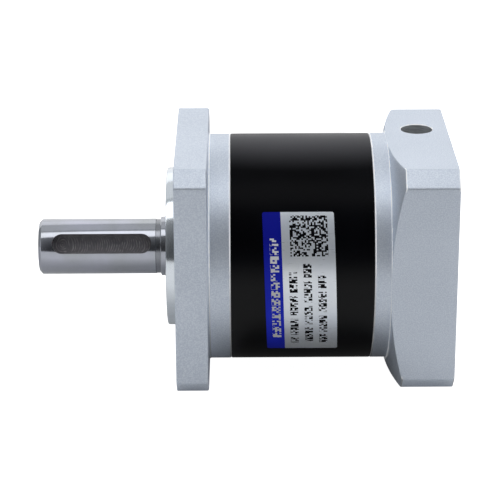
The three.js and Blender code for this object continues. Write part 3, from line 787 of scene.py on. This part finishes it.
def screw_size():
    """The upright clamp screw's place (x, y) and its head's radius."""
    low, high = box("clamp_screw")
    middle = (low + high) / 2
    return (middle.x, middle.y), high.x - middle.x


# ---- case and label


def case_sleeve():
    """The black tube between the castings, with a fine chamfer at each end."""
    bore = SPIGOT_R + 0.05
    section = []
    for x, inward in ((CASE_FRONT, 1), (CASE_BACK, -1)):
        end = [
            (x + inward * 0.1, bore), (x, bore + 0.1), (x, BODY_R - 0.25),
            (x + inward * 0.07, BODY_R - 0.07), (x + inward * 0.25, BODY_R),
        ]
        section += end[::inward]
    piece = turned("case_sleeve", section, [BLACK], 256)
    paint(piece, GEAR, lambda centre, normal: from_axis(centre) < bore + 0.2)
    settle(piece, "housing", "black_steel", "ring_gear_case")


def case_label():
    """A bent sheet with rounded corners, printed on its outside."""
    low, high = box("case_label")
    start = math.atan2(high.z, -math.sqrt(low.y ** 2 - high.z ** 2))
    turn = 1 / BODY_R
    skew = (high.x - low.x - LABEL_WIDTH) / LABEL_HEIGHT
    rows, columns = 60, 24
    corner = 0.5
    near_edge = [0, 0.05, 0.15, 0.3, corner]
    downs = near_edge + [corner + (LABEL_HEIGHT - 2 * corner) * i / rows for i in range(1, rows)]
    downs += [LABEL_HEIGHT - d for d in reversed(near_edge)]

    def row(down, lift):
        """Points across the sheet, pulled in where its corners are round."""
        short = corner - min(corner, down, LABEL_HEIGHT - down)
        pull = corner - math.sqrt(corner ** 2 - short ** 2)
        acrosses = [pull + (LABEL_WIDTH - 2 * pull) * c / columns for c in range(columns + 1)]
        edge = low.x + skew * down
        return [at(edge + across, BODY_R + lift, start + turn * down) for across in acrosses]

    rings = [row(down, 0.03) + row(down, 0.17)[::-1] for down in downs]
    piece = loft("case_label_film", rings, [LABEL], closed=False)
    uv = piece.data.uv_layers.new(name="print")
    for loop in piece.data.loops:
        point = piece.data.vertices[loop.vertex_index].co / MM
        down = (math.atan2(point.z, point.y) % FULL_TURN - start) / turn
        uv.data[loop.index].uv = (point.x - low.x - skew * down, down)
    settle(piece, "housing", "label_foil", "case_label")


# ---- output shaft


def output_shaft():
    """Ground shaft with key slot, collar, seal journal and bearing seats, and the front carrier disc."""
    collar_x = SEAL_X - 1.8
    relief_x = collar_x - 1.15
    relief_r = SHAFT_R - 0.13
    ring_x, ring_end, _ = span("shaft_snap_ring")
    shoulder_x = span("front_output_bearing_inner_race")[1] + 0.2
    rear_end = span("rear_output_bearing_inner_race")[1]
    disc_x, disc_back = front_disc()
    groove_x, groove_end, groove_r = ring_x - 0.05, ring_end + 0.05, JOURNAL_R - 0.38
    centre_r = 0.05
    section = [
        (TIP_X + 12, centre_r), (TIP_X + 10.9, CENTRE_HOLE_R),
        (TIP_X + 1.1, CENTRE_HOLE_R), (TIP_X, CENTRE_HOLE_R + 0.8), (TIP_X, SHAFT_R - 0.8),
        (TIP_X + 0.08, SHAFT_R - 0.68), (TIP_X + 0.68, SHAFT_R - 0.08),
        (TIP_X + 0.8, SHAFT_R), (relief_x - 0.1, SHAFT_R), (relief_x, relief_r),
        (collar_x - 0.05, relief_r), (collar_x, SHAFT_R - 0.08),
        (collar_x, JOURNAL_R - 0.2), (collar_x + 0.2, JOURNAL_R),
        (groove_x, JOURNAL_R), (groove_x, groove_r), (groove_end, groove_r), (groove_end, JOURNAL_R),
        (shoulder_x, JOURNAL_R), (shoulder_x, 10), (rear_end, 10), (rear_end, 12),
        (disc_x, 12), (disc_x, CARRIER_R - 0.3), (disc_x + 0.3, CARRIER_R),
        (disc_back, CARRIER_R), (disc_back, centre_r),
    ]
    piece = turned("keyed_output_shaft", section, [GROUND], 160, closed=False)
    holes = pin_holes("output_planet_pin", disc_x - 1, disc_back + 1)
    combine(piece, [key_slot()] + holes, "DIFFERENCE")
    facing = at(0, 1, KEYWAY_ANGLE)

    def in_slot(centre, normal):
        outward = centre.y * facing.y + centre.z * facing.z
        sideways = abs(centre.y * facing.z - centre.z * facing.y)
        inside = KEYWAY_START < centre.x < KEYWAY_END and sideways < KEYWAY_HALF + 0.02
        return inside and outward > 0 and from_axis(centre) < SHAFT_R - 0.02

    def in_relief(centre, normal):
        beyond = relief_x - 0.15 < centre.x < collar_x - 0.02
        return beyond and from_axis(centre) < SHAFT_R - 0.01

    paint(piece, MILLED, in_slot)
    paint(piece, WORN, in_relief)
    paint(piece, GEAR, lambda centre, normal: centre.x > disc_x - 1)
    settle(piece, "output", "ground_steel", "output_shaft")


def front_disc():
    """The stations of the shaft's disc, between the rear bearing and the planets."""
    gear_x = span("output_planet_gear_1")[0]
    return gear_x - 3.9, gear_x - 0.3


def key_slot():
    """A cutter with round ends for the key slot."""
    outline = []
    steps = 24
    for centre, first in ((KEYWAY_START + KEYWAY_HALF, 1), (KEYWAY_END - KEYWAY_HALF, -1)):
        for i in range(steps + 1):
            angle = first * RIGHT_ANGLE + math.pi * i / steps
            outline.append((centre + KEYWAY_HALF * math.cos(angle), KEYWAY_HALF * math.sin(angle)))
    rings = [[(x, y, z) for x, y in outline] for z in (KEYWAY_FLOOR, SHAFT_R + 2)]
    tool = loft("key_slot", rings, closed=False)
    tool.rotation_euler.x = KEYWAY_ANGLE - RIGHT_ANGLE
    return tool


def pin_holes(prefix, x_from, x_to):
    """Cutters for the pins, turned a little so that no facet edge meets one of the disc's."""
    tools = []
    for i in (1, 2, 3):
        place, radius = round_of(f"{prefix}_{i}")
        tool = drill([(x_from, radius + FIT), (x_to, radius + FIT)], place, 64)
        tool.rotation_euler.x = math.radians(1)
        tools.append(tool)
    return tools


def sector_block(name, radii, middle, half, stations, materials=(), steps=10):
    """A block between two radii and two stations, this half angle to each side of middle."""
    swing = [half * (2 * i / steps - 1) for i in range(steps + 1)]
    outline = [(radii[1], middle + s) for s in swing] + [(radii[0], middle - s) for s in swing]
    return loft(name, [[at(x, r, a) for r, a in outline] for x in stations], materials, closed=False)


def planet_cage():
    """The back disc of the output carrier and the three webs that tie it to the shaft's disc."""
    end_x = span("output_planet_gear_1")[1] + 0.3
    end_back = span("output_planet_pin_1")[1]
    piece = washer("output_planet_cage", (end_x, end_back), (8.3, CARRIER_R), 0.2, GEAR)
    radii = (14.5, CARRIER_R - 0.5)
    stations = (front_disc()[1], end_x + 1)
    middles = [FIRST_PLANET + turn + FULL_TURN / 6 for turn in turns(3)]
    webs = [sector_block("web", radii, middle, math.radians(17), stations) for middle in middles]
    combine(piece, webs, "UNION")
    combine(piece, pin_holes("output_planet_pin", end_x - 1, end_back + 1), "DIFFERENCE")
    settle(piece, "output", "ground_steel")


# ---- gears

PRESSURE = math.radians(20)
OUTPUT_STAGE = dict(module=1, sun=12, planet=18, ring=48, shift=0.3, sun_tip=1, thin=0.05)
INPUT_STAGE = dict(module=0.6, sun=9, planet=36, ring=81, shift=0.4, sun_tip=0.9, thin=0.04)


def involute(angle):
    return math.tan(angle) - angle


def tooth_outline(stage, teeth, shift, below, above, phase, thin, flank=5):
    """(radius, angle) pairs round a toothed wheel, with true involute flanks. below and above are the
    tooth's depths under and over the pitch circle, in modules."""
    module = stage["module"]
    pitch_r = module * teeth / 2
    base_r = pitch_r * math.cos(PRESSURE)
    inner, outer = pitch_r + module * (shift - below), pitch_r + module * (shift + above)
    at_pitch = (RIGHT_ANGLE + 2 * shift * math.tan(PRESSURE)) / teeth - thin / (2 * pitch_r)

    def half_angle(radius):
        pressure = math.acos(min(1.0, base_r / radius))
        return at_pitch + involute(PRESSURE) - involute(pressure)

    side = [(r, half_angle(r)) for r in (inner + (outer - inner) * i / flank for i in range(flank + 1))]
    outline = []
    for turn in turns(teeth):
        outline += [(r, phase + turn - half) for r, half in side]
        outline += [(r, phase + turn + half) for r, half in reversed(side)]
    return outline


def sun_outline(stage):
    """The sun's teeth, in mesh with the planets at rest."""
    teeth, shift = stage["sun"], stage["shift"]
    phase = (FIRST_PLANET * (teeth + stage["ring"]) + math.pi * (stage["planet"] + 1)) / teeth
    return tooth_outline(stage, teeth, shift, 1.25, stage["sun_tip"], phase, stage["thin"])


def planet_outline(stage, angle):
    """The teeth of the planet that stands at this angle, in mesh with the ring at rest."""
    teeth = stage["planet"]
    phase = angle - angle * stage["ring"] / teeth
    return tooth_outline(stage, teeth, -stage["shift"], 1.25, 1, phase, stage["thin"])


def ring_outline(stage):
    """The ring's tooth spaces."""
    return tooth_outline(stage, stage["ring"], -stage["shift"], 1, 1.25, 0.0, -stage["thin"])


def toothed(name, outline, other_r, stations, place=(0, 0)):
    """A gear between its tooth outline and a plain circle of radius other_r, inside or outside it."""
    plain = [(other_r, a) for _, a in outline]
    corners = ((stations[0], plain), (stations[0], outline), (stations[1], outline), (stations[1], plain))
    middle = Vector((0, *place))
    return loft(name, [[at(x, r, a) + middle for r, a in pairs] for x, pairs in corners], [GEAR])


def planet_set(prefix, stage):
    """Three planets, each with its bush, and the pins they turn on, which ride on the stage's carrier."""
    edge = 0.25
    for i, turn in enumerate(turns(3), start=1):
        body = f"{prefix}_planet_{i}"
        x_from, x_to, _ = span(f"{prefix}_planet_bush_{i}")
        pin_x, pin_end, _ = span(f"{prefix}_planet_pin_{i}")
        place, bush_r = round_of(f"{prefix}_planet_bush_{i}")
        pin_r = round_of(f"{prefix}_planet_pin_{i}")[1]
        outline = planet_outline(stage, FIRST_PLANET + turn)
        gear = toothed(f"{prefix}_planet_wheel_{i}", outline, bush_r + 0.02, (x_from, x_to), place)
        settle(gear, body, "gear_steel", f"{prefix}_planet_gear_{i}")
        radii = (pin_r + 0.05, bush_r)
        bush = washer(f"{prefix}_planet_sleeve_{i}", (x_from, x_to), radii, edge, BRONZE, count=48)
        bush.location = Vector((0, *place)) * MM
        settle(bush, body, "bronze", f"{prefix}_planet_bush_{i}")
        section = [(pin_x, pin_r - edge), (pin_x + edge, pin_r)]
        section += [(pin_end - edge, pin_r), (pin_end, pin_r - edge)]
        pin = turned(f"{prefix}_planet_axle_{i}", section, [POLISHED], 48, closed=False)
        pin.location = bush.location
        settle(pin, prefix, "ground_steel", f"{prefix}_planet_pin_{i}")


def ring_row(name, stage, x_from, x_to):
    """One row of internal teeth inside the case."""
    row = toothed(name, ring_outline(stage), SPIGOT_R + 0.06, (x_from, x_to))
    settle(row, "housing", "black_steel")


def sun_and_carrier():
    """The output sun with its boss, and the first-stage carrier it is pressed into."""
    sun_x, sun_end, _ = span("output_sun_gear")
    boss_x = DISC_X - 0.5
    bore, boss_r = 1.2, 5
    sun = toothed("output_sun_wheel", sun_outline(OUTPUT_STAGE), bore, (sun_x, boss_x))
    section = [(boss_x, boss_r), (sun_end, boss_r), (sun_end, bore), (boss_x, bore)]
    combine(sun, [turned("boss", section, count=96)], "UNION")
    settle(sun, "first_stage", "gear_steel", "output_sun_gear")
    radii = (boss_r + FIT, CARRIER_R)
    disc = washer("first_stage_carrier_plate", (DISC_X, DISC_END), radii, 0.25, GEAR)
    combine(disc, pin_holes("first_stage_planet_pin", DISC_X - 1, DISC_END + 1), "DIFFERENCE")
    settle(disc, "first_stage", "gear_steel", "first_stage_carrier")


# ---- bearings, seal and rings


def bearing(prefix, bore, ball, balls, shaft_body):
    """Grooved races with round edges, balls, and a ribbon cage that bulges round each ball."""
    x_from, x_to, outer_r = span(f"{prefix}_outer_race")
    inner_land = span(f"{prefix}_inner_race")[2]
    pitch_r = inner_land + 0.3 * ball
    outer_land = pitch_r + 0.3 * ball
    middle = (x_from + x_to) / 2
    groove = ball / 2 + 0.05
    edge = 0.25
    reach = math.acos(0.3 * ball / groove)
    steps = 10
    swing = [reach * (2 * i / steps - 1) for i in range(steps + 1)]
    arc = [(groove * math.sin(a), groove * math.cos(a)) for a in swing]

    def race(kind, plain_r, land, side, body):
        """One race. side is 1 where the plain surface is outside the groove and -1 where it is inside."""
        first = [
            (x_from + edge, plain_r), (x_from, plain_r - side * edge),
            (x_from, land + side * edge), (x_from + edge / 2, land),
        ]
        section = first + [(middle + x, pitch_r + side * r) for x, r in arc]
        section += [(x_from + x_to - x, r) for x, r in reversed(first)]
        piece = turned(f"{prefix}_{kind}_ring", section, [POLISHED], 96)
        settle(piece, body, "ground_steel", f"{prefix}_{kind}_race")

    race("inner", bore + FIT, inner_land, -1, shaft_body)
    race("outer", outer_r, outer_land, 1, "housing")
    cage = ball_cage(prefix, pitch_r, middle, ball, balls)
    settle(cage, f"{prefix}_cage", "ground_steel", f"{prefix}_ball_cage")


def ball_cage(prefix, pitch_r, middle, ball, balls):
    """A ribbon that widens round each ball, and the balls in it."""
    half = 0.1 * ball
    rings = []
    for a in turns(balls * 16):
        bulge = 0.5 + 0.5 * math.cos(a * balls)
        width = ball * (0.22 + 0.3 * bulge)
        corners = ((-width, -half), (-width, half), (width, half), (width, -half))
        rings.append([at(middle + x, pitch_r + r, a) for x, r in corners])
    cage = loft(f"{prefix}_balls", rings, [POLISHED])
    spheres = [sphere(at(middle, pitch_r, a), ball / 2 - 0.05) for a in turns(balls)]
    combine(cage, spheres, "UNION")
    return cage


def sphere(centre, radius):
    bm = bmesh.new()
    bmesh.ops.create_icosphere(bm, subdivisions=3, radius=radius, matrix=Matrix.Translation(centre))
    return make_piece("ball", bm)


def oil_seal():
    """Lip seal: outer case, an outer lip that keeps dirt out and a sealing lip with its garter groove."""
    lip = JOURNAL_R + 0.03
    face = SEAL_X + 0.18
    web = SEAL_X + 0.95
    back = SEAL_X + 3
    section = [
        (SEAL_X + 0.25, SEAL_R), (SEAL_X, SEAL_R - 0.25), (SEAL_X, 11.6),
        (face, 11.4), (face, 9.2), (SEAL_X, 8.9), (SEAL_X, 8),
        (SEAL_X + 0.3, lip), (SEAL_X + 0.7, lip + 0.1), (SEAL_X + 1.2, 8),
        (SEAL_X + 2.2, lip + 0.2), (SEAL_X + 2.5, lip), (back, 7.9),
        (back, 8.6), (web, 9.4), (web, 12.1), (SEAL_END, 12.1), (SEAL_END, SEAL_R),
    ]
    settle(turned("lip_seal", section, [RUBBER], 128), "housing", "black_rubber", "output_oil_seal")


def snap_ring(name, node, body, inner, ear):
    """An open wire ring with an ear at each side of its gap, which faces down."""
    x_from, x_to, outer = span(node)
    gap = math.radians(14)
    piece = sector_block(name, (inner, outer), RIGHT_ANGLE, math.pi - gap, (x_from, x_to), [SPRING], 72)
    radius = (inner + outer) / 2
    ears = []
    for side in (-1, 1):
        middle = at(0, radius, side * (gap + ear / radius) - RIGHT_ANGLE)
        ears.append(drill([(x_from, ear), (x_to, ear)], (middle.y, middle.z), 24))
    combine(piece, ears, "UNION")
    settle(piece, body, "spring_steel", node)


def thrust_plate():
    """The thin washer between the two stages."""
    x_from, x_to, outer = span("planet_thrust_plate")
    plate = washer("thrust_washer", (x_from, x_to), (5.6, outer), 0.1, SPRING)
    settle(plate, "housing", "spring_steel", "planet_thrust_plate")


# ---- input side


def bar(low, high, stations):
    """A cutter along X between the corners low and high, each (y, z)."""
    corners = (low, (high[0], low[1]), high, (low[0], high[1]))
    return loft("bar", [[(x, y, z) for y, z in corners] for x in stations], closed=False)


def input_hub():
    """Input sun, bearing journal and the slotted sleeve for the motor shaft."""
    bearing_x, bearing_end, _ = span("input_bearing_inner_race")
    gear_x, hub_end, _ = span("input_hub")
    journal, collar, sleeve, bore, core = 6, 7, 5.75, 4, 1
    start = bearing_x - 0.3
    shoulder = bearing_end + 2
    bottom = bearing_x + 1
    section = [
        (start, core), (start, journal - 0.2), (bearing_x, journal), (bearing_end, journal),
        (bearing_end, collar), (shoulder, collar), (shoulder, sleeve), (hub_end - 0.3, sleeve),
        (hub_end, sleeve - 0.3), (hub_end, bore + 0.5), (hub_end - 0.5, bore),
        (bottom, bore), (bottom, core),
    ]
    piece = turned("motor_shaft_socket", section, [GEAR], 96)
    thin, wide = 0.5, 9
    stations = (shoulder + 1, hub_end + 1)
    slots = [bar((-y, -z), (y, z), stations) for y, z in ((thin, wide), (wide, thin))]
    combine(piece, slots, "DIFFERENCE")
    paint(piece, GROUND, lambda centre, normal: from_axis(centre) < bore + 0.05)
    settle(piece, "input", "gear_steel", "input_hub")
    sun = toothed("input_sun_wheel", sun_outline(INPUT_STAGE), core, (gear_x, start))
    settle(sun, "input", "gear_steel")


def clamp():
    """Split ring and socket screw that squeeze the sleeve on to the motor shaft."""
    x_from, x_to, outer = span("clamp_ring")
    bottom, top = (corner.z for corner in box("clamp_screw"))
    place, head_r = screw_size()
    seat = top - 3
    ring = washer("split_clamp_ring", (x_from, x_to), (5.83, outer), 0.4, SPRING, steps=3)
    slit = bar((0, -0.7), (16, 0.7), (x_from - 1, x_to + 1))
    bore = [(-9, 1.5), (12, 1.5)]
    pocket = [(seat - 0.05, head_r + 0.2), (16, head_r + 0.2)]
    holes = [upright_drill(section, place, 48) for section in (bore, pocket)]
    combine(ring, [slit] + holes, "DIFFERENCE")
    settle(ring, "input", "gear_steel", "clamp_ring")
    shank_r = 1.45
    section = [
        (bottom, shank_r - 0.3), (bottom + 0.3, shank_r), (seat, shank_r),
        (seat, head_r - 0.1), (seat + 0.1, head_r), (top - 0.35, head_r),
        (top, head_r - 0.35),
    ]
    screw = turned("socket_clamp_screw", section, [SPRING], 64, closed=False)
    socket = [(top - 1.6, 1.44), (top + 1, 1.44)]
    combine(screw, [drill(socket, (0, 0), 6)], "DIFFERENCE")
    moved = Matrix.Translation(Vector((*place, 0)) * MM)
    screw.data.transform(moved @ Matrix.Rotation(-RIGHT_ANGLE, 4, "Y"))
    settle(screw, "input", "spring_steel", "clamp_screw")


# ---- build

front_housing()
motor_adapter()
case_sleeve()
case_label()
output_shaft()
planet_cage()
ring_row("output_ring_teeth", OUTPUT_STAGE, HOUSING_END + 0.4, span("output_planet_pin_1")[1])
first_row_x = span("first_stage_planet_gear_1")[0] - 1.4
ring_row("first_stage_ring_teeth", INPUT_STAGE, first_row_x, span("first_stage_planet_pin_1")[1])
sun_and_carrier()
planet_set("output", OUTPUT_STAGE)
planet_set("first_stage", INPUT_STAGE)
bearing("front_output_bearing", 7.5, 4, 8, "output")
bearing("rear_output_bearing", 10, 3.5, 9, "output")
bearing("input_bearing", 6, 3.5, 8, "input")
oil_seal()
snap_ring("shaft_circlip", "shaft_snap_ring", "output", 7.15, 0.9)
snap_ring("housing_circlip", "housing_snap_ring", "housing", 13.6, 1.4)
thrust_plate()
input_hub()
clamp()

# ---- studio

CAMERA_DISTANCE = 0.5183
CAMERA_ELEVATION = math.radians(20.79)
CAMERA_AZIMUTH = math.radians(-0.28)
CAMERA_ROLL = math.radians(-0.21)
CAMERA_AIM = Vector((1.63, 0, -1.25)) * MM
LENS = 146.3

PAPER_GLOW = 0.05
BACKDROP_GLOW = 0.75
FLOOR_SHINE = 0.36
# Where the painted shadow under the case starts and ends along X, and how softly it fades.
SHADOW_STRIP_START = -0.001
SHADOW_STRIP_END = 0.035
SHADOW_STRIP_FADE = 0.005
ROOM_FRONT = 0.06
ROOM_SIDES = 0.4


def looking_along(direction):
    """The turn that points a camera or a light along this direction."""
    return direction.to_track_quat("-Z", "Y").to_matrix().to_4x4()


def make_camera():
    data = bpy.data.cameras.new("camera")
    data.lens = LENS
    camera = link("camera", data)
    level = math.cos(CAMERA_ELEVATION)
    side, forward = math.sin(CAMERA_AZIMUTH) * level, math.cos(CAMERA_AZIMUTH) * level
    back = Vector((side, -forward, math.sin(CAMERA_ELEVATION)))
    camera.location = CAMERA_AIM + back * CAMERA_DISTANCE
    camera.rotation_euler = (looking_along(-back) @ Matrix.Rotation(CAMERA_ROLL, 4, "Z")).to_euler()
    bpy.context.scene.camera = camera


def softbox(name, place, width, height, power):
    """A rectangular lamp that faces the gearbox."""
    data = bpy.data.lights.new(name, "AREA")
    data.shape = "RECTANGLE"
    data.size = width
    data.size_y = height
    data.energy = power
    lamp = link(name, data)
    lamp.location = place
    lamp.rotation_euler = looking_along(-Vector(place)).to_euler()


def sweep_mesh(floor_z):
    """A floor that curves up into a backdrop behind the gearbox."""
    front, depth, half, rise, height = -1.2, 1.6, 2.2, 0.5, 2.5
    steps = 12
    curve = [RIGHT_ANGLE * i / steps for i in range(steps + 1)]
    profile = [(front, 0.0)] + [(depth + rise * math.sin(t), rise * (1 - math.cos(t))) for t in curve]
    profile.append((depth + rise, height))
    bm = bmesh.new()
    left, right = [[bm.verts.new((x, y, floor_z + z)) for y, z in profile] for x in (-half, half)]
    for i in range(len(profile) - 1):
        bm.faces.new((left[i], right[i], right[i + 1], left[i + 1]))
    mesh = bpy.data.meshes.new("sweep")
    bm.to_mesh(mesh)
    bm.free()
    mesh.shade_smooth()
    return mesh


def sweep_paper():
    """White paper. The camera sees it fully lit. In reflections it is bright before the gearbox and far
    behind it. A painted shadow makes it dark, in colour and in reflections, in the strip under the case."""
    s = Shader("white_sweep")
    rays = s.tree.nodes.new("ShaderNodeLightPath")
    x, y, _ = s.parts(s.place)
    behind = s.between(y, 0.3, 1.4)
    before = s.between(y, -0.005, -0.05)
    after_start = s.between(x, SHADOW_STRIP_START - SHADOW_STRIP_FADE, SHADOW_STRIP_START)
    before_end = s.between(x, SHADOW_STRIP_END + SHADOW_STRIP_FADE, SHADOW_STRIP_END)
    # Painted shadow: the strip of paper under the case.
    under = s.times(s.between(y, -0.04, -0.024), s.times(after_start, before_end))
    shine = s.times(s.math("SUBTRACT", 1.0, under), s.times(before, FLOOR_SHINE))
    mirrored = s.times(rays.outputs["Is Glossy Ray"], shine)
    lit = s.math("MAXIMUM", s.lerp(behind, PAPER_GLOW, BACKDROP_GLOW), mirrored)
    glow = s.math("MAXIMUM", lit, rays.outputs["Is Camera Ray"])
    # The painted shadow turns the paper's colour nearly black under the case.
    tone = s.blend(under, s.blend(s.noise(6), grey(0.56), grey(0.6)), grey(0.06))
    return s.finish(Base_Color=tone, Roughness=0.9, Emission_Color=grey(1.0), Emission_Strength=glow)


def room():
    """A grey room, dark on the camera's side, which gives the shaft its dark band."""
    world = bpy.data.worlds.new("studio")
    bpy.context.scene.world = world
    world.use_nodes = True
    tree = world.node_tree
    background = tree.nodes["Background"]
    background.inputs["Color"].default_value = grey(0.95, 1.06)
    kinds = ("ShaderNodeTexCoord", "ShaderNodeSeparateXYZ", "ShaderNodeMapRange")
    coords, split, ramp = [tree.nodes.new(kind) for kind in kinds]
    settings = {"From Min": -0.95, "From Max": -0.2, "To Min": ROOM_FRONT, "To Max": ROOM_SIDES}
    for key, value in settings.items():
        ramp.inputs[key].default_value = value
    tree.links.new(coords.outputs["Generated"], split.inputs[0])
    tree.links.new(split.outputs[1], ramp.inputs["Value"])
    tree.links.new(ramp.outputs["Result"], background.inputs["Strength"])


def studio():
    """Softboxes above, weak fills at the sides, and white paper below and behind."""
    floor = link("sweep", sweep_mesh(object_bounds()[0].z))
    floor.data.materials.append(sweep_paper())
    floor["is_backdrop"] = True
    room()
    softbox("front_overhead", (0, -0.165, 0.58), 1.3, 0.28, 1.65)
    softbox("rear_overhead", (0, 0.34, 0.5), 1.4, 0.72, 1.0)
    softbox("left", (-0.75, -0.3, 0.2), 0.5, 0.5, 0.3)
    softbox("right", (0.75, -0.3, 0.2), 0.5, 0.5, 0.35)
    bpy.context.scene.view_settings.view_transform = "Standard"


make_camera()
studio()
